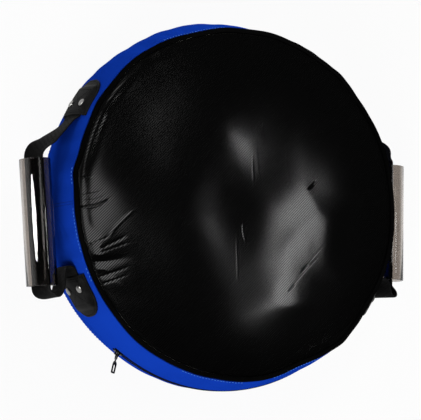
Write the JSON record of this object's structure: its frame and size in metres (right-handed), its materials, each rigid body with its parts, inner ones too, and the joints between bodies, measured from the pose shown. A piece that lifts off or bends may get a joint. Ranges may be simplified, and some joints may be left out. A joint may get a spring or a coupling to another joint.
{
  "type": "punching shield",
  "caption": "Round padded strike shield with a crowned vinyl face, a zipped side wall and a swinging webbing handle with a tube grip on each side.",
  "frame": {"origin": "middle of the back panel's outer face, on which the shield lies", "axes": "+Z out of the striking face, +Y to the top of the face, +X to its right as the picture shows it"},
  "size_m": [0.5849, 0.4929, 0.133],
  "materials": {
    "face_vinyl": "black woven-look vinyl, semi-gloss",
    "back_vinyl": "black grained vinyl",
    "blue_vinyl": "blue grained vinyl, semi-gloss",
    "piping": "smooth black vinyl",
    "foam": "matte foam",
    "webbing": "black woven nylon",
    "leather": "black grained leather",
    "grip_plastic": "clear smoky plastic",
    "nickel": "nickel plated",
    "zip_tape": "black woven tape",
    "zip_coil": "black nylon coil",
    "zip_metal": "black enamel"
  },
  "bodies": {
    "shield": {"face_panel": "face_vinyl", "side_wall": "blue_vinyl", "back_panel": "back_vinyl", "face_piping": "piping", "back_piping": "piping", "face_foam": "foam", "middle_foam": "foam", "back_foam": "foam", "zip_tape_front": "zip_tape", "zip_tape_rear": "zip_tape", "zip_coil_front": "zip_coil", "zip_coil_rear": "zip_coil", "strap_left_upper_end": "webbing", "strap_left_lower_end": "webbing", "patch_left_upper": "leather", "patch_left_lower": "leather", "backing_left_upper": "leather", "backing_left_lower": "leather", "rivet_left_upper_front": "nickel", "rivet_left_upper_rear": "nickel", "rivet_left_lower_front": "nickel", "rivet_left_lower_rear": "nickel", "washer_left_upper_front": "nickel", "washer_left_upper_rear": "nickel", "washer_left_lower_front": "nickel", "washer_left_lower_rear": "nickel", "strap_right_upper_end": "webbing", "strap_right_lower_end": "webbing", "patch_right_upper": "leather", "patch_right_lower": "leather", "backing_right_upper": "leather", "backing_right_lower": "leather", "rivet_right_upper_front": "nickel", "rivet_right_upper_rear": "nickel", "rivet_right_lower_front": "nickel", "rivet_right_lower_rear": "nickel", "washer_right_upper_front": "nickel", "washer_right_upper_rear": "nickel", "washer_right_lower_front": "nickel", "washer_right_lower_rear": "nickel"},
    "left_handle": {"strap_left_middle": "webbing"},
    "left_grip": {"grip_tube_left": "grip_plastic"},
    "right_handle": {"strap_right_middle": "webbing"},
    "right_grip": {"grip_tube_right": "grip_plastic"},
    "slider": {"zip_slider": "zip_metal"},
    "pull": {"zip_pull": "zip_metal"}
  },
  "joints": [
    {"name": "left_handle_swing", "type": "hinge", "parent": "shield", "child": "left_handle", "pos_m": [-0.232, 0, 0.078], "axis": [0, 1, 0], "range_deg": [-27, 40], "stiffness_Nm_per_rad": 0.4, "deforming": ["strap_left_upper_end", "strap_left_lower_end"]},
    {"name": "right_handle_swing", "type": "hinge", "parent": "shield", "child": "right_handle", "pos_m": [0.232, 0, 0.078], "axis": [0, -1, 0], "range_deg": [0, 75], "stiffness_Nm_per_rad": 0.4, "deforming": ["strap_right_upper_end", "strap_right_lower_end"]},
    {"name": "left_grip_roll", "type": "hinge", "parent": "left_handle", "child": "left_grip", "pos_m": [-0.26845, -0.036, 0.07991], "axis": [-0.0801, 0.9968, 0.0042], "continuous": true},
    {"name": "right_grip_roll", "type": "hinge", "parent": "right_handle", "child": "right_grip", "pos_m": [0.26831, -0.0095, 0.05351], "axis": [0.0217, 0.9997, -0.0146], "continuous": true},
    {"name": "zip_run", "type": "hinge", "parent": "shield", "child": "slider", "pos_m": [0, 0, 0.06], "axis": [0, 0, 1], "range_deg": [0, 73.5], "deforming": ["zip_coil_front", "zip_coil_rear", "zip_tape_front", "zip_tape_rear"]},
    {"name": "zip_pull_swing", "type": "hinge", "parent": "slider", "child": "pull", "pos_m": [-0.14954, -0.19989, 0.06], "axis": [0, 0, 1], "range_deg": [-107, 58]}
  ]
}
